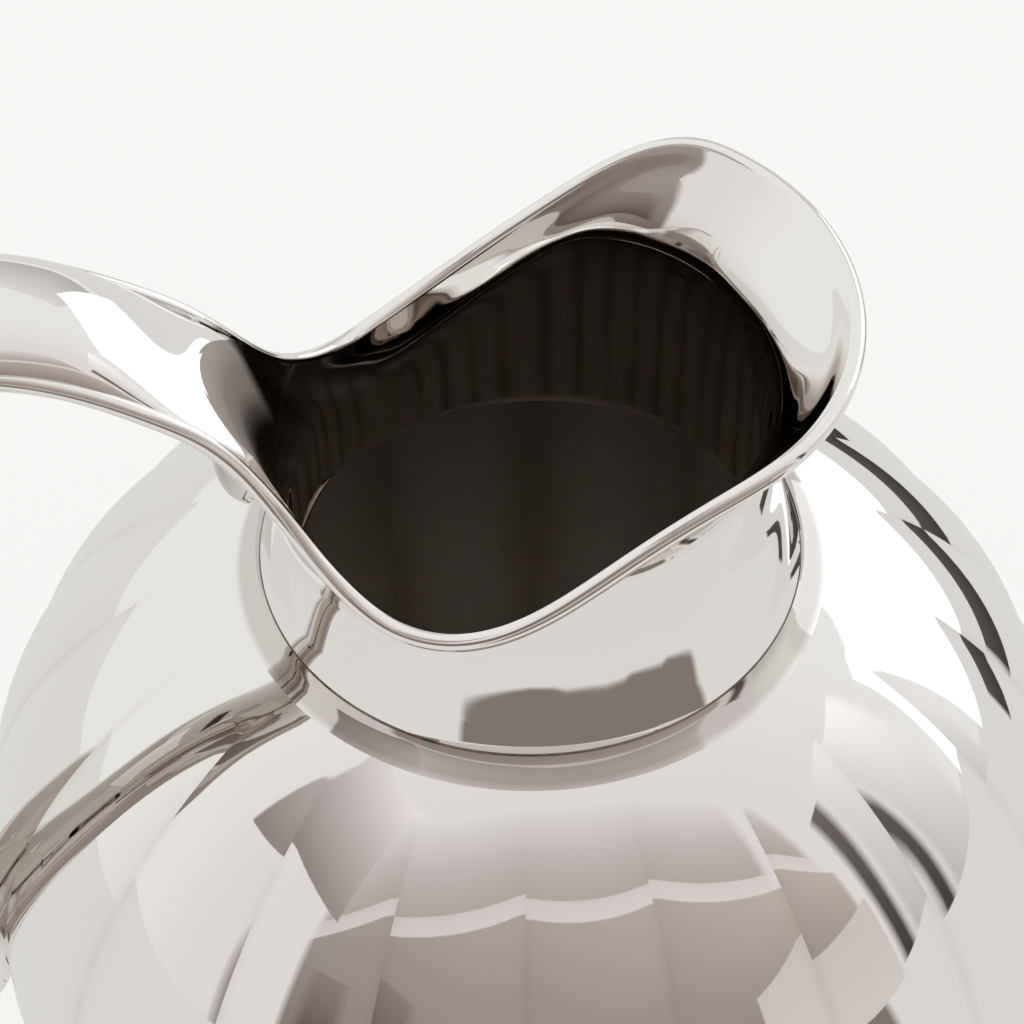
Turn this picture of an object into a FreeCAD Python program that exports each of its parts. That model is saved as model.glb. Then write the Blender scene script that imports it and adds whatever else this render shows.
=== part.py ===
import FreeCAD, Part
import math
import os

import Sketcher
from FreeCAD import Vector

doc = FreeCAD.newDocument("pitcher")

# Driving dimensions in millimetres. The frame stands on the table at the centre of the foot, with the
# lip toward +X and the handle toward -X. A size named rise is a height above the neck seam.
SIZES = {
    "body_diameter": 164,
    "equator_height": 68,
    "lobe_count": 20,
    "lobe_depth": 0.8,
    "wall": 1,
    "foot_height": 6,
    "foot_spread": 4,
    "foot_width": 8.5,
    "base_diameter": 88,
    "base_lap": 3,
    "seam_height": 132,
    "seam_diameter": 76.8,
    "solder_height": 0.7,
    "collar_width": 3.6,
    "collar_height": 3.2,
    "throat_inset": 4,
    "throat_drop": 6,
    "waist_inset": 4.1,
    "waist_rise": 15,
    "waist_softness": 4,
    "spout_flare": 9.7,
    "spout_rise": 45,
    "spout_bend_rise": 34.5,
    "spout_bend_drop": 8,
    "spout_softness": 3,
    "root_flare": 10.7,
    "root_rise": 44.5,
    "root_bend_rise": 15,
    "root_softness": 4.5,
    "dip_rise": 17,
    "dip_setback": 24,
    "root_length": 1.5,
    "lip_length": 13,
    "wire_diameter": 2.6,
    "handle_width": 23,
    "handle_thickness": 12,
    "handle_wall": 1.2,
    "handle_rise": 57,
    "handle_crest_setback": 34,
    "handle_clearance": 35,
    "handle_end_height": 58,
    "handle_root_taper": 0.68,
    "handle_end_taper": 0.75,
}

sheet = doc.addObject("Spreadsheet::Sheet", "Sizes")
for row, (alias, value) in enumerate(SIZES.items(), start=1):
    sheet.set(f"A{row}", alias)
    sheet.set(f"B{row}", str(value))
    sheet.setAlias(f"B{row}", alias)
doc.recompute()


def size(alias):
    return float(sheet.get(alias))


wall = size("wall")
body_radius = size("body_diameter") / 2
base_radius = size("base_diameter") / 2
seam_radius = size("seam_diameter") / 2
collar_radius = seam_radius + size("collar_width")
throat_radius = seam_radius - size("throat_inset")
waist_radius = seam_radius - size("waist_inset")
spout_reach = waist_radius + size("spout_flare")
root_reach = waist_radius + size("root_flare")
seam_height = size("seam_height")
collar_foot = seam_height - size("collar_height")
equator_height = size("equator_height")
foot_height = size("foot_height")
half_solder = size("solder_height") / 2
neck_top = size("spout_rise") + 2 * size("wire_diameter")


def add_shape(label, shape):
    feature = doc.addObject("Part::Feature", label)
    feature.Shape = shape
    feature.Placement = FreeCAD.Placement()
    return feature


def smooth_step(value):
    t = min(max(value, 0.0), 1.0)
    return t * t * (3 - 2 * t)


def soft_ramp(value, softness):
    return (value + math.hypot(value, softness)) / 2


def polar(radius, angle, height):
    return Vector(radius * math.cos(angle), radius * math.sin(angle), height)


def curve_through(points):
    curve = Part.BSplineCurve()
    curve.interpolate(points)
    return curve


# Body: lobed sections stacked along an egg-shaped meridian
def scalloped_wire(radius, depth, height):
    count = int(size("lobe_count"))
    half = math.pi / count
    arcs = []
    for index in range(count):
        crest = 2 * half * index
        valley = polar(radius - depth, crest - half, height)
        next_valley = polar(radius - depth, crest + half, height)
        arcs.append(Part.Arc(valley, polar(radius, crest, height), next_valley).toShape())
    return Part.Wire(arcs)


def body_solid(inset):
    top_angle = math.acos(collar_radius / body_radius)
    low_angle = math.acos(base_radius / body_radius)
    top_half = (collar_foot - equator_height) / math.sin(top_angle)
    low_half = (equator_height - foot_height) / math.sin(low_angle)
    steps = 6
    wires = []
    for index in range(-steps, steps + 1):
        share = index / steps
        angle = share * (top_angle if index > 0 else low_angle)
        half_height = top_half if index > 0 else low_half
        # The lobes are full round the belly and die out at the collar and the base.
        depth = size("lobe_depth") * smooth_step(2.2 * (1 - abs(share)))
        radius = (body_radius - inset) * math.cos(angle)
        height = equator_height + (half_height - inset) * math.sin(angle)
        wires.append(scalloped_wire(radius, depth, height))
    return Part.makeLoft(wires, True, False)


# Collar of the body: a small hollow up to the seam, a seat for the neck and a lip turned down the throat
def collar_ring():
    start = Vector(collar_radius, 0, collar_foot)
    seam = Vector(seam_radius, 0, seam_height - half_solder)
    hollow = (start + seam) * 0.5 - Vector(wall / 4, 0, wall / 3)
    seat = seam - Vector(2 * wall, 0, 0)
    edge = Vector(throat_radius, 0, seam_height - size("throat_drop"))
    bulge = (seat + edge) * 0.5 + Vector(-wall / 3, 0, wall / 3)
    edge_back = edge + Vector(wall, 0, 0)
    under = start - Vector(wall / 2, 0, wall)
    pocket = Vector(edge_back.x + wall / 2, 0, under.z + wall / 2)
    outline = [
        Part.Arc(start, hollow, seam).toShape(),
        Part.makeLine(seam, seat),
        Part.Arc(seat, bulge, edge).toShape(),
        Part.makeLine(edge, edge_back),
        Part.makeLine(edge_back, pocket),
        Part.makeLine(pocket, under),
        Part.makeLine(under, start),
    ]
    face = Part.Face(Part.Wire(outline))
    return face.revolve(Vector(0, 0, 0), Vector(0, 0, 1), 360)


def make_bowl(outside):
    mouth = Part.makeCylinder(collar_radius - wall / 2, body_radius, Vector(0, 0, equator_height))
    bottom = Part.makeCylinder(base_radius - size("base_lap"), equator_height)
    shell = outside.cut(body_solid(wall)).cut(mouth).cut(bottom)
    return shell.fuse(collar_ring()).removeSplitter()


body_outside = body_solid(0)
body_bowl = add_shape("body_bowl", make_bowl(body_outside))


# Neck: a short cone and a straight waist, flared to the lip on +X and to the root of the handle on -X
def neck_radius(angle, rise):
    lean = math.cos(angle)
    rounding = 0.2

    def flare(bend, top, softness):
        low = soft_ramp(-bend, softness)
        return (soft_ramp(rise - bend, softness) - low) / (soft_ramp(top - bend, softness) - low)

    toward_lip = soft_ramp(lean, rounding) / soft_ramp(1, rounding)
    toward_root = soft_ramp(-lean, rounding) / soft_ramp(1, rounding)
    cone_left = soft_ramp(size("waist_rise") - rise, size("waist_softness"))
    cone = size("waist_inset") * cone_left / soft_ramp(size("waist_rise"), size("waist_softness"))
    lip = size("spout_flare") * toward_lip * (1.45 - 0.45 * toward_lip)
    root = size("root_flare") * toward_root**2
    # The line where the lip bends out sinks toward both sides.
    spout_bend = size("spout_bend_rise") - size("spout_bend_drop") * (1 - toward_lip) ** 2
    lip *= flare(spout_bend, size("spout_rise"), size("spout_softness"))
    root *= flare(size("root_bend_rise"), size("root_rise"), size("root_softness"))
    return waist_radius + cone + lip + root


# Height of the rim above the seam: a level lip, a dip behind the middle and a climb to the root
def rim_rise(x):
    dip = size("dip_rise")
    past_dip = x + root_reach - size("dip_setback")
    if past_dip >= 0:
        length = root_reach - size("dip_setback") + spout_reach - size("lip_length")
        return dip + (size("spout_rise") - dip) * smooth_step(past_dip / length)
    climb = (size("root_rise") - dip) * (past_dip / (size("dip_setback") - size("root_length"))) ** 2
    return size("root_rise") - soft_ramp(size("root_rise") - dip - climb, size("wire_diameter") / 2)


def neck_wire(rise, inset):
    around = 26
    halves = []
    for side in (1, -1):
        points = []
        for index in range(around + 1):
            angle = math.pi * index / around
            points.append(polar(neck_radius(angle, rise) - inset, side * angle, seam_height + rise))
        curve = Part.BSplineCurve()
        curve.interpolate(points, InitialTangent=Vector(0, side, 0), FinalTangent=Vector(0, -side, 0))
        halves.append(curve.toShape())
    return Part.Wire(halves)


def neck_solid(inset, low, high):
    levels = 18
    rises = [low + (high - low) * level / levels for level in range(levels + 1)]
    return Part.makeLoft([neck_wire(rise, inset) for rise in rises], True, False)


# The neck stops short of the rim by the wire's radius, measured square to the rim line, and rises to the
# full height at the root, where the handle takes the wire's place.
def neck_edge_rise(x):
    step = 0.01
    slope = (rim_rise(x + step) - rim_rise(x - step)) / (2 * step)
    under_wire = smooth_step((x + root_reach) / (2 * size("wire_diameter")))
    return rim_rise(x) - size("wire_diameter") / 2 * math.hypot(1, slope) * under_wire


def space_above_rim():
    count = 40
    margin = 2 * size("wire_diameter")
    first_x, last_x = -root_reach - margin, spout_reach + margin
    points = []
    for index in range(count + 1):
        x = first_x + (last_x - first_x) * index / count
        points.append(Vector(x, -body_radius, seam_height + neck_edge_rise(x)))
    first, last = points[0], points[-1]
    lift = Vector(0, 0, body_radius)
    outline = [
        curve_through(points).toShape(),
        Part.makeLine(last, last + lift),
        Part.makeLine(last + lift, first + lift),
        Part.makeLine(first + lift, first),
    ]
    return Part.Face(Part.Wire(outline)).extrude(Vector(0, 2 * body_radius, 0))


neck_outside = neck_solid(0, half_solder, neck_top)
neck_shell = neck_outside.cut(neck_solid(wall, half_solder - wall, neck_top + wall))
neck_collar = add_shape("neck_collar", neck_shell.cut(space_above_rim()))


# Rim wire: follows the top edge of the neck from one side of the handle round the lip to the other
def rim_point(angle):
    low, high = 0.0, neck_top
    for _ in range(40):
        rise = (low + high) / 2
        if rise < rim_rise(neck_radius(angle, rise) * math.cos(angle)):
            low = rise
        else:
            high = rise
    outset = size("wire_diameter") / 12
    return polar(neck_radius(angle, rise) + outset, angle, seam_height + rise)


def make_wire():
    beside_handle = (size("handle_width") / 2 + size("wire_diameter") / 3) / root_reach
    end = math.pi - math.asin(beside_handle)
    count = 30
    curve = curve_through([rim_point(end * (2 * index / count - 1)) for index in range(count + 1)])
    along = curve.tangent(curve.FirstParameter)[0]
    ring = Part.Wire(Part.makeCircle(size("wire_diameter") / 2, curve.StartPoint, along))
    return Part.Wire(curve.toShape()).makePipeShell([ring], True, True)


rim_wire = add_shape("rim_wire", make_wire())


# Solder between the neck and the collar, a little back from both outer faces
def solder_cylinder(name, radius):
    cylinder = doc.addObject("Part::Cylinder", name)
    cylinder.setExpression("Radius", radius)
    cylinder.setExpression("Height", "Sizes.solder_height")
    cylinder.setExpression("Placement.Base.z", "Sizes.seam_height - Sizes.solder_height / 2")
    return cylinder


neck_solder_bead = doc.addObject("Part::Cut", "neck_solder_bead")
neck_solder_bead.Base = solder_cylinder("solder_outside", "(Sizes.seam_diameter - Sizes.solder_height) / 2")
neck_solder_bead.Tool = solder_cylinder("solder_bore", "Sizes.seam_diameter / 2 - Sizes.wall")


# Handle: half ovals along one loop, from inside the neck over the crest and down to the belly
def handle_path():
    crest = root_reach + size("handle_crest_setback")
    reach = body_radius + size("handle_clearance")
    top = seam_height + size("handle_rise")
    end = size("handle_end_height")
    rise = size("handle_rise")
    return curve_through(
        [
            Vector(-root_reach * 0.66, 0, seam_height + rise * 0.37),
            Vector(-root_reach - size("handle_crest_setback") * 0.21, 0, seam_height + rise * 0.82),
            Vector(-crest, 0, top),
            Vector(-reach, 0, top - (top - end) * 0.4),
            Vector(-reach + size("handle_clearance") * 0.35, 0, end + (top - end) * 0.25),
            Vector(-body_radius + size("handle_thickness") * 0.6, 0, end),
        ]
    )


# One half of the hollow section: an outer and an inner half oval joined by the two seam edges
def half_section(centre, along, width, thickness, side):
    across = Vector(0, side, 0)
    outward = Vector(0, 1, 0).cross(along).normalize() * side
    inset = size("handle_wall")

    def half_oval(half_width, half_thickness):
        oval = Part.Ellipse(centre + across * half_width, centre + outward * half_thickness, centre)
        return Part.ArcOfEllipse(oval, 0, math.pi).toShape()

    outer = half_oval(width / 2, thickness / 2)
    inner = half_oval(width / 2 - inset, thickness / 2 - inset)
    seams = []
    for hand in (across, across * -1):
        seams.append(Part.makeLine(centre + hand * (width / 2), centre + hand * (width / 2 - inset)))
    return Part.Wire(Part.__sortEdges__([outer, seams[1], inner, seams[0]]))


def handle_half(curve, side):
    steps = 24
    first, last = curve.FirstParameter, curve.LastParameter
    wires = []
    for index in range(steps + 1):
        share = index / steps
        place = first + (last - first) * share
        root_taper = 1 - (1 - size("handle_root_taper")) * smooth_step(1.25 - 5 * share)
        end_taper = 1 - (1 - size("handle_end_taper")) * smooth_step((share - 0.4) / 0.6)
        width = size("handle_width") * end_taper
        thickness = size("handle_thickness") * root_taper * end_taper
        wires.append(half_section(curve.value(place), curve.tangent(place)[0], width, thickness, side))
    return Part.makeLoft(wires, True, False)


def make_handle_half(label, side):
    half = handle_half(handle_path(), side)
    return add_shape(label, half.cut(body_outside).cut(neck_outside).cut(rim_wire.Shape))


handle_outer_half = make_handle_half("handle_outer_half", 1)
handle_inner_half = make_handle_half("handle_inner_half", -1)

# Base: a plate that closes the bottom of the bowl and rests on the foot
base_disc = doc.addObject("Part::Cylinder", "base_disc")
base_disc.setExpression("Radius", "Sizes.base_diameter / 2 - Sizes.base_lap")
base_disc.setExpression("Height", "Sizes.wall")
base_disc.setExpression("Placement.Base.z", "Sizes.foot_height")


# Foot: a spread ring under the edge of the bowl and the edge of the base plate
def make_foot():
    body = doc.addObject("PartDesign::Body", "foot_ring")
    sketch = body.newObject("Sketcher::SketchObject", "foot_profile")
    plane = next(item for item in body.Origin.OriginFeatures if item.Role == "XZ_Plane")
    sketch.AttachmentSupport = (plane, "")
    sketch.MapMode = "FlatFace"
    edge = base_radius + size("foot_spread")
    bore = edge - size("foot_width")
    corners = [
        (bore, 0),
        (edge - wall, 0),
        (edge, wall),
        (base_radius - wall, foot_height),
        (bore, foot_height),
    ]
    count = len(corners)
    for index, corner in enumerate(corners):
        following = corners[(index + 1) % count]
        sketch.addGeometry(Part.LineSegment(Vector(*corner, 0), Vector(*following, 0)), False)
    for index in range(count):
        sketch.addConstraint(Sketcher.Constraint("Coincident", index, 2, (index + 1) % count, 1))
    sketch.addConstraint(Sketcher.Constraint("PointOnObject", 0, 1, -1))
    sketch.addConstraint(Sketcher.Constraint("Horizontal", 0))
    sketch.addConstraint(Sketcher.Constraint("Horizontal", 3))
    sketch.addConstraint(Sketcher.Constraint("Vertical", 4))

    def drive(corner, kind, expression):
        value = corners[corner][0 if kind == "DistanceX" else 1]
        place = sketch.addConstraint(Sketcher.Constraint(kind, -1, 1, corner, 1, value))
        sketch.setExpression(f"Constraints[{place}]", expression)

    edge_size = "Sizes.base_diameter / 2 + Sizes.foot_spread"
    drive(0, "DistanceX", f"{edge_size} - Sizes.foot_width")
    drive(1, "DistanceX", f"{edge_size} - Sizes.wall")
    drive(2, "DistanceX", edge_size)
    drive(2, "DistanceY", "Sizes.wall")
    drive(3, "DistanceX", "Sizes.base_diameter / 2 - Sizes.wall")
    drive(3, "DistanceY", "Sizes.foot_height")
    turning = body.newObject("PartDesign::Revolution", "foot_turning")
    turning.Profile = sketch
    turning.ReferenceAxis = (sketch, ["V_Axis"])
    turning.Angle = 360
    return body


foot_ring = make_foot()
doc.recompute()

nodes = [
    body_bowl,
    neck_collar,
    neck_solder_bead,
    rim_wire,
    handle_outer_half,
    handle_inner_half,
    base_disc,
    foot_ring,
]
for item in doc.Objects:
    if "Invalid" in item.State or "Error" in item.State:
        raise RuntimeError(f"{item.Label} did not build")
for node in nodes:
    if node.Shape.isNull() or not node.Shape.isValid() or len(node.Shape.Solids) != 1:
        raise RuntimeError(f"{node.Label} is not one sound solid")

os.makedirs("parts", exist_ok=True)
for node in nodes:
    node.Shape.exportStep(f"parts/{node.Label}.step")
    print(node.Label, round(node.Shape.Volume), "mm3")
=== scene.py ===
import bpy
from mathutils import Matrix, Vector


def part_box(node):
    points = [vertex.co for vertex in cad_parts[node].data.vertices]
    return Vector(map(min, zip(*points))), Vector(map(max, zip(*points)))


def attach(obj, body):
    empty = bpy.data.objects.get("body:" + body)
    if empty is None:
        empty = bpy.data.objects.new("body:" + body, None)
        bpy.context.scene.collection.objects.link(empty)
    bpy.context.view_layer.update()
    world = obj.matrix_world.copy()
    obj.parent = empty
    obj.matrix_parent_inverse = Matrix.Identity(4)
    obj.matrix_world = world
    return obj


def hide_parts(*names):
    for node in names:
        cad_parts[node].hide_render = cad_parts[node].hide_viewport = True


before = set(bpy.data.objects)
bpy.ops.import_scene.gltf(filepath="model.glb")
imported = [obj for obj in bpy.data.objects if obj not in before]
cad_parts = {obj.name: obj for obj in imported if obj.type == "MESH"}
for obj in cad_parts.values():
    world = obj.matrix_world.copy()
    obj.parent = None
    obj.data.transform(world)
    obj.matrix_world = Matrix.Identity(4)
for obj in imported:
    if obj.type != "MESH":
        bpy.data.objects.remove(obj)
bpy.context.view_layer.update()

import math

import bmesh
import bpy
import numpy as np
from mathutils import Matrix, Vector

mm = 0.001
scene = bpy.context.scene
scene.view_settings.view_transform = "Standard"

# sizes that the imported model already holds
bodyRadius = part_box("body_bowl")[1].x
beadLow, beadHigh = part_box("neck_solder_bead")
halfSolder = (beadHigh.z - beadLow.z) / 2
seamHeight = beadLow.z + halfSolder
seamRadius = beadHigh.x + halfSolder
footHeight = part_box("foot_ring")[1].z
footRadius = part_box("foot_ring")[1].x
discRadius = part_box("base_disc")[1].x
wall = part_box("base_disc")[1].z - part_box("base_disc")[0].z


def smoothStep(value):
    t = np.clip(value, 0.0, 1.0)
    return t * t * (3 - 2 * t)


def softRamp(value, softness):
    return (value + np.hypot(value, softness)) / 2


# small helpers for node trees: what comes from another node is linked, any other value is set
def fill(tree, node, values):
    for key, value in values.items():
        if isinstance(value, bpy.types.NodeSocket):
            tree.links.new(value, node.inputs[key])
        else:
            node.inputs[key].default_value = value


def addNode(tree, kind, values=None, **settings):
    node = tree.nodes.new(kind)
    for key, value in settings.items():
        setattr(node, key, value)
    fill(tree, node, values or {})
    return node


def mathNode(tree, operation, *values):
    values = dict(enumerate(values))
    return addNode(tree, "ShaderNodeMath", values, operation=operation).outputs[0]


def vectorNode(tree, operation, values):
    return addNode(tree, "ShaderNodeVectorMath", values, operation=operation).outputs[0]


def mapRange(tree, value, low, high, start=0.0, end=1.0, **settings):
    values = {"Value": value, "From Min": start, "From Max": end, "To Min": low, "To Max": high}
    return addNode(tree, "ShaderNodeMapRange", values, **settings).outputs["Result"]


def splitVector(tree, vector):
    return addNode(tree, "ShaderNodeSeparateXYZ", {0: vector}).outputs


def coordinates(tree, kind):
    return addNode(tree, "ShaderNodeTexCoord").outputs[kind]


def mixColour(tree, factor, first, second):
    # inputs 6 and 7 are the two colours, and output 2 is their mix
    values = {0: factor, 6: first, 7: second}
    return addNode(tree, "ShaderNodeMix", values, data_type="RGBA").outputs[2]


def mixShaders(tree, factor, first, second):
    values = {0: factor, 1: first.outputs[0], 2: second.outputs[0]}
    return addNode(tree, "ShaderNodeMixShader", values).outputs[0]


def attributeValue(tree, name):
    return addNode(tree, "ShaderNodeAttribute", attribute_name=name).outputs["Fac"]


def noise(tree, scale, detail=4.0, stretch=None):
    place = coordinates(tree, "Object")
    if stretch:
        values = {"Vector": place, "Scale": stretch}
        place = addNode(tree, "ShaderNodeMapping", values).outputs["Vector"]
    values = {"Vector": place, "Scale": scale, "Detail": detail}
    return addNode(tree, "ShaderNodeTexNoise", values).outputs["Fac"]


def bump(tree, height, distance, strength, under=None):
    values = {"Height": height, "Distance": distance, "Strength": strength}
    if under:
        values["Normal"] = under
    return addNode(tree, "ShaderNodeBump", values).outputs["Normal"]


def grain(tree, look, detail):
    height = noise(tree, look["grainScale"], detail)
    return bump(tree, height, look["grainHeight"], look["grainStrength"])


def newMaterial(name):
    material = bpy.data.materials.new(name)
    material.use_nodes = True
    return material, material.node_tree, material.node_tree.nodes["Principled BSDF"]


def blankMaterial(name):
    material, tree, _ = newMaterial(name)
    tree.nodes.clear()
    return material, tree, addNode(tree, "ShaderNodeOutputMaterial")


silverLook = {
    "bright": (0.955, 0.945, 0.932, 1.0),
    "dull": (0.905, 0.892, 0.872, 1.0),
    "tarnish": (0.36, 0.30, 0.25, 1.0),
    # colour of the painted shade inside the neck, under the seam and under the handle
    "paintedShade": (0.46, 0.405, 0.365, 1.0),
    "brushed": (0.42, 0.375, 0.345, 1.0),
    "cloudScale": 22.0,
    "patchScale": 160.0,
    "patches": (0.0, 0.25),
    "polishScale": 70.0,
    "roughness": (0.012, 0.045),
    "satinRoughness": 0.45,
    "satinMetallic": 0.35,
    "waveScale": 38.0,
    "waveHeight": 0.02 * mm,
    "scratchScale": 1500.0,
    "scratchStretch": (1.0, 0.35, 0.12),
    "scratchHeight": 0.002 * mm,
    "scratchStrength": 0.25,
}


def makeSilver():
    material, tree, shader = newMaterial("mirror silver")
    cloud = noise(tree, silverLook["cloudScale"])
    colour = mixColour(tree, cloud, silverLook["bright"], silverLook["dull"])
    # painted shade inside the neck, under the seam and under the handle
    colour = mixColour(tree, attributeValue(tree, "paintedShade"), colour, silverLook["paintedShade"])
    # satin where the neck was filed at the handle's root
    satin = attributeValue(tree, "satin")
    colour = mixColour(tree, satin, colour, silverLook["brushed"])
    # polish doesn't reach the bottoms of the creases
    patch = mapRange(tree, noise(tree, silverLook["patchScale"]), *silverLook["patches"])
    patch = mathNode(tree, "MULTIPLY", attributeValue(tree, "crease"), patch)
    polish = noise(tree, silverLook["polishScale"], 6.0)
    rough = mapRange(tree, polish, *silverLook["roughness"])
    filed = mathNode(tree, "MULTIPLY", satin, silverLook["satinRoughness"])
    wave = noise(tree, silverLook["waveScale"], 1.0)
    wave = bump(tree, wave, silverLook["waveHeight"], 1.0)
    scratch = noise(tree, silverLook["scratchScale"], 2.0, silverLook["scratchStretch"])
    height, strength = silverLook["scratchHeight"], silverLook["scratchStrength"]
    values = {
        "Base Color": mixColour(tree, patch, colour, silverLook["tarnish"]),
        "Roughness": mathNode(tree, "ADD", rough, filed),
        "Normal": bump(tree, scratch, height, strength, wave),
        "Metallic": mapRange(tree, satin, 1.0, silverLook["satinMetallic"]),
    }
    fill(tree, shader, values)
    return material


insideLook = {
    "grey": (0.92, 0.84, 0.77, 1.0),
    "brown": (0.50, 0.42, 0.35, 1.0),
    # painted shade inside the bowl toward the shoulder, where little light reaches
    "shoulderShade": (0.14, 0.115, 0.095, 1.0),
    "shoulderShadeRise": (0.04, 0.115),
    "ribPower": 0.15,
    "ribs": (0.35, 1.0),
    "streakScale": 6.0,
    "streakStretch": (12.0, 12.0, 0.6),
    "streaks": (0.3, 1.7),
    "stainScale": 45.0,
    "roughness": (0.36, 0.5),
    "grainScale": 420.0,
    "grainHeight": 0.02 * mm,
    "grainStrength": 0.6,
    "metallic": 0.12,
}


def makeInside():
    material, tree, shader = newMaterial("unpolished inside")
    # darker toward the ribs between the lobes, and painted shade toward the shoulder, where little
    # light reaches
    rib = mathNode(tree, "POWER", attributeValue(tree, "crease"), insideLook["ribPower"])
    rib = mapRange(tree, rib, *insideLook["ribs"])
    streak = noise(tree, insideLook["streakScale"], 3.0, insideLook["streakStretch"])
    streak = mapRange(tree, streak, *insideLook["streaks"])
    mixed = mathNode(tree, "MULTIPLY", streak, rib)
    colour = mixColour(tree, mixed, insideLook["grey"], insideLook["brown"])
    height = splitVector(tree, coordinates(tree, "Object"))["Z"]
    shoulderShade = mapRange(tree, height, 0.0, 1.0, *insideLook["shoulderShadeRise"])
    stain = noise(tree, insideLook["stainScale"], 6.0)
    values = {
        "Base Color": mixColour(tree, shoulderShade, colour, insideLook["shoulderShade"]),
        "Roughness": mapRange(tree, stain, *insideLook["roughness"]),
        "Normal": grain(tree, insideLook, 5.0),
        "Metallic": insideLook["metallic"],
    }
    fill(tree, shader, values)
    return material


solderLook = {
    "black": (0.030, 0.024, 0.020, 1.0),
    "rust": (0.23, 0.115, 0.05, 1.0),
    "grey": (0.30, 0.27, 0.24, 1.0),
    "speckScale": 480.0,
    "specks": (-1.6, 2.4),
    "patchScale": 70.0,
    "patches": (-1.0, 1.9),
    "polishScale": 260.0,
    "roughness": (0.35, 0.7),
    "grainScale": 900.0,
    "grainHeight": 0.12 * mm,
    "grainStrength": 0.8,
    "metallic": 0.55,
}


def makeSolder():
    material, tree, shader = newMaterial("oxidised solder")
    speck = mapRange(tree, noise(tree, solderLook["speckScale"], 5.0), *solderLook["specks"])
    patch = mapRange(tree, noise(tree, solderLook["patchScale"], 3.0), *solderLook["patches"])
    colour = mixColour(tree, speck, solderLook["black"], solderLook["rust"])
    polish = noise(tree, solderLook["polishScale"])
    values = {
        "Base Color": mixColour(tree, patch, colour, solderLook["grey"]),
        "Roughness": mapRange(tree, polish, *solderLook["roughness"]),
        "Normal": grain(tree, solderLook, 4.0),
        "Metallic": solderLook["metallic"],
    }
    fill(tree, shader, values)
    return material


silver = makeSilver()
insideMetal = makeInside()
solder = makeSolder()
print("materials made")


# meshes come as grids of points, rows by columns
def gridFaces(rows, columns, wrapRows=True, wrapColumns=True):
    faces = []
    for row in range(rows if wrapRows else rows - 1):
        following = (row + 1) % rows
        for column in range(columns if wrapColumns else columns - 1):
            beside = (column + 1) % columns
            a, b = row * columns + column, row * columns + beside
            c, d = following * columns + beside, following * columns + column
            faces.append((a, b, c, d))
    return faces


# pairs of neighbours along rows of a closed grid, and along its lines
def ringEdges(rows, columns):
    ring = [(c, (c + 1) % columns) for c in range(columns)]
    return [(row * columns + a, row * columns + b) for row in rows for a, b in ring]


def lineEdges(rows, columns, along):
    return [(row * columns + c, (row + 1) * columns + c) for row in rows for c in along]


def makePiece(name, points, faces, materials, sharpPairs=()):
    mesh = bpy.data.meshes.new(name)
    shell = bmesh.new()
    corners = [shell.verts.new(point) for point in np.asarray(points).reshape(-1, 3)]
    for face in faces:
        shell.faces.new([corners[index] for index in face]).smooth = True
    for first, second in sharpPairs:
        edge = shell.edges.get((corners[first], corners[second]))
        if edge:
            edge.smooth = False
    bmesh.ops.recalc_face_normals(shell, faces=shell.faces)
    shell.to_mesh(mesh)
    shell.free()
    for material in materials:
        mesh.materials.append(material)
    piece = bpy.data.objects.new(name, mesh)
    scene.collection.objects.link(piece)
    return piece


def addAttribute(piece, name, values):
    attribute = piece.data.attributes.new(name, "FLOAT", "POINT")
    attribute.data.foreach_set("value", np.asarray(values, np.float32).ravel())


def bakeNodes(piece):
    graph = bpy.context.evaluated_depsgraph_get()
    mesh = bpy.data.meshes.new_from_object(piece.evaluated_get(graph))
    name = piece.name
    finished = bpy.data.objects.new(name + "_plain", mesh)
    scene.collection.objects.link(finished)
    bpy.data.objects.remove(piece)
    finished.name = name
    return finished


def addNodesModifier(piece, tree, values):
    modifier = piece.modifiers.new(tree.name, "NODES")
    modifier.node_group = tree
    for item in tree.interface.items_tree:
        if item.name in values:
            modifier[item.identifier] = values[item.name]


def newTree(name, inputs):
    tree = bpy.data.node_groups.new(name, "GeometryNodeTree")
    tree.interface.new_socket("Geometry", in_out="INPUT", socket_type="NodeSocketGeometry")
    for label, kind in inputs:
        tree.interface.new_socket(label, in_out="INPUT", socket_type=kind)
    tree.interface.new_socket("Geometry", in_out="OUTPUT", socket_type="NodeSocketGeometry")
    return tree, addNode(tree, "NodeGroupInput"), addNode(tree, "NodeGroupOutput")


def namedValue(tree, name):
    kind = "GeometryNodeInputNamedAttribute"
    return addNode(tree, kind, {"Name": name}, data_type="FLOAT").outputs[0]


def realise(tree, geometry):
    return addNode(tree, "GeometryNodeRealizeInstances", {0: geometry}).outputs[0]


def paint(tree, geometry, material, selection=True):
    values = {"Geometry": geometry, "Material": material, "Selection": selection}
    return addNode(tree, "GeometryNodeSetMaterial", values).outputs[0]


def roundAxis(radius, angle, height):
    parts = radius * np.cos(angle), radius * np.sin(angle), height
    return np.stack(np.broadcast_arrays(*parts), axis=-1)


def revolve(profile, count):
    turn = np.arange(count) * 2 * math.pi / count
    radius, height = np.asarray(profile, float).T[:, :, None]
    return roundAxis(radius, turn, height)


def arcThrough(start, through, end, count):
    a, b, c = (complex(*point) for point in (start, through, end))
    ratio = (c - a) / (b - a)
    centre = (a - b) * (ratio - abs(ratio) ** 2) / (2j * ratio.imag) + a
    spans = np.angle((b - centre) / (a - centre)), np.angle((c - centre) / (b - centre))
    spun = centre + (a - centre) * np.exp(1j * np.linspace(0, sum(spans), count))
    return np.stack([spun.real, spun.imag], axis=1)


bead = {
    "half": 0.2 * mm,
    "radius": 0.27 * mm,
    "sunk": 0.75,
    "waves": (7, 13, 29, 47, 83),
    "unevenness": 0.14,
    "columns": 360,
    "sides": 10,
}

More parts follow.
